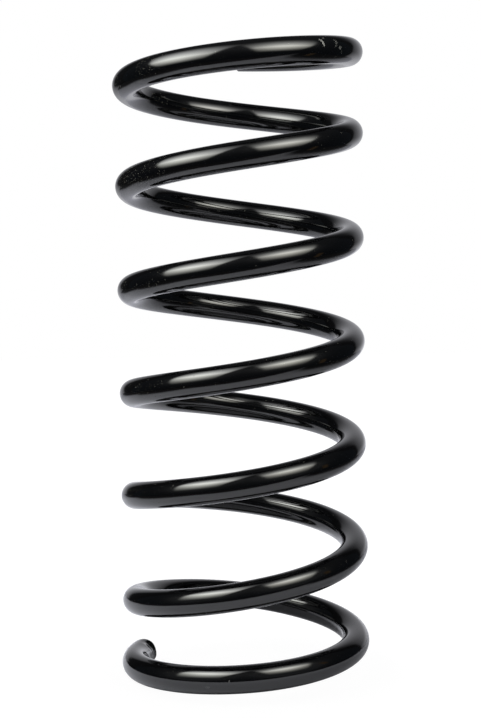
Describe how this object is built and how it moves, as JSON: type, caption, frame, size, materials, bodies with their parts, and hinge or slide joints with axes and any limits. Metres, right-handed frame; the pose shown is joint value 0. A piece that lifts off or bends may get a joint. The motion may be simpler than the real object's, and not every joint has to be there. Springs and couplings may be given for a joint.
{
  "type": "suspension spring",
  "caption": "Cylindrical coil spring for a vehicle's suspension: a heavy round bar wound into an open right-hand helix with flatter end coils, in gloss black.",
  "frame": {"origin": "on the axis of the coil, level with the lowest point of the lower end coil", "axes": "+Z along the axis of the coil towards the upper end coil; +X to the right and -Y towards the viewer, with the lower cut end at 159.5 degrees from +X and the upper cut end at 90 degrees"},
  "size_m": [0.1486, 0.1476, 0.3818],
  "materials": {
    "black_coating": "gloss"
  },
  "bodies": {
    "root": {"coil_spring": "black_coating"}
  },
  "joints": []
}
